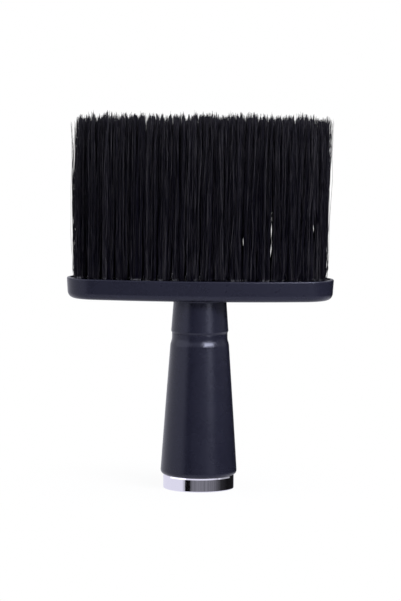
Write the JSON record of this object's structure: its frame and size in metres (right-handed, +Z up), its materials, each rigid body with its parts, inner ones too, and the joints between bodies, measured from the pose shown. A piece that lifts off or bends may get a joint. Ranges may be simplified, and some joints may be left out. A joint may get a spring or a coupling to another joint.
{
  "type": "neck duster brush",
  "caption": "Barber's neck duster: wide flat-topped block of black nylon bristle in an oval black head, on a tapered black handle with a chrome band at its foot.",
  "frame": {"origin": "middle of the foot that the brush stands on", "axes": "+Z up along the handle to the bristle tips, X along the head's width, Y across its depth"},
  "size_m": [0.12, 0.04, 0.17],
  "materials": {
    "soft_black_plastic": "satin",
    "block_plastic": "matte",
    "plug_plastic": "satin",
    "nylon_bristle": "satin",
    "chrome": "polished",
    "screw_steel": "satin",
    "anchor_wire": "satin"
  },
  "bodies": {
    "root": {"head_shell": "soft_black_plastic", "handle": "soft_black_plastic", "bristle_block": "block_plastic", "tuft_anchors": "anchor_wire", "tie_screw": "screw_steel", "screw_washer": "screw_steel", "chrome_band": "chrome", "end_plug": "plug_plastic", "tuft_column_01": "nylon_bristle", "tuft_column_02": "nylon_bristle", "tuft_column_03": "nylon_bristle", "tuft_column_04": "nylon_bristle", "tuft_column_05": "nylon_bristle", "tuft_column_06": "nylon_bristle", "tuft_column_07": "nylon_bristle", "tuft_column_08": "nylon_bristle", "tuft_column_09": "nylon_bristle", "tuft_column_10": "nylon_bristle", "tuft_column_11": "nylon_bristle", "tuft_column_12": "nylon_bristle", "tuft_column_13": "nylon_bristle", "tuft_column_14": "nylon_bristle", "tuft_column_15": "nylon_bristle", "tuft_column_16": "nylon_bristle", "tuft_column_17": "nylon_bristle", "tuft_column_18": "nylon_bristle"}
  },
  "joints": []
}
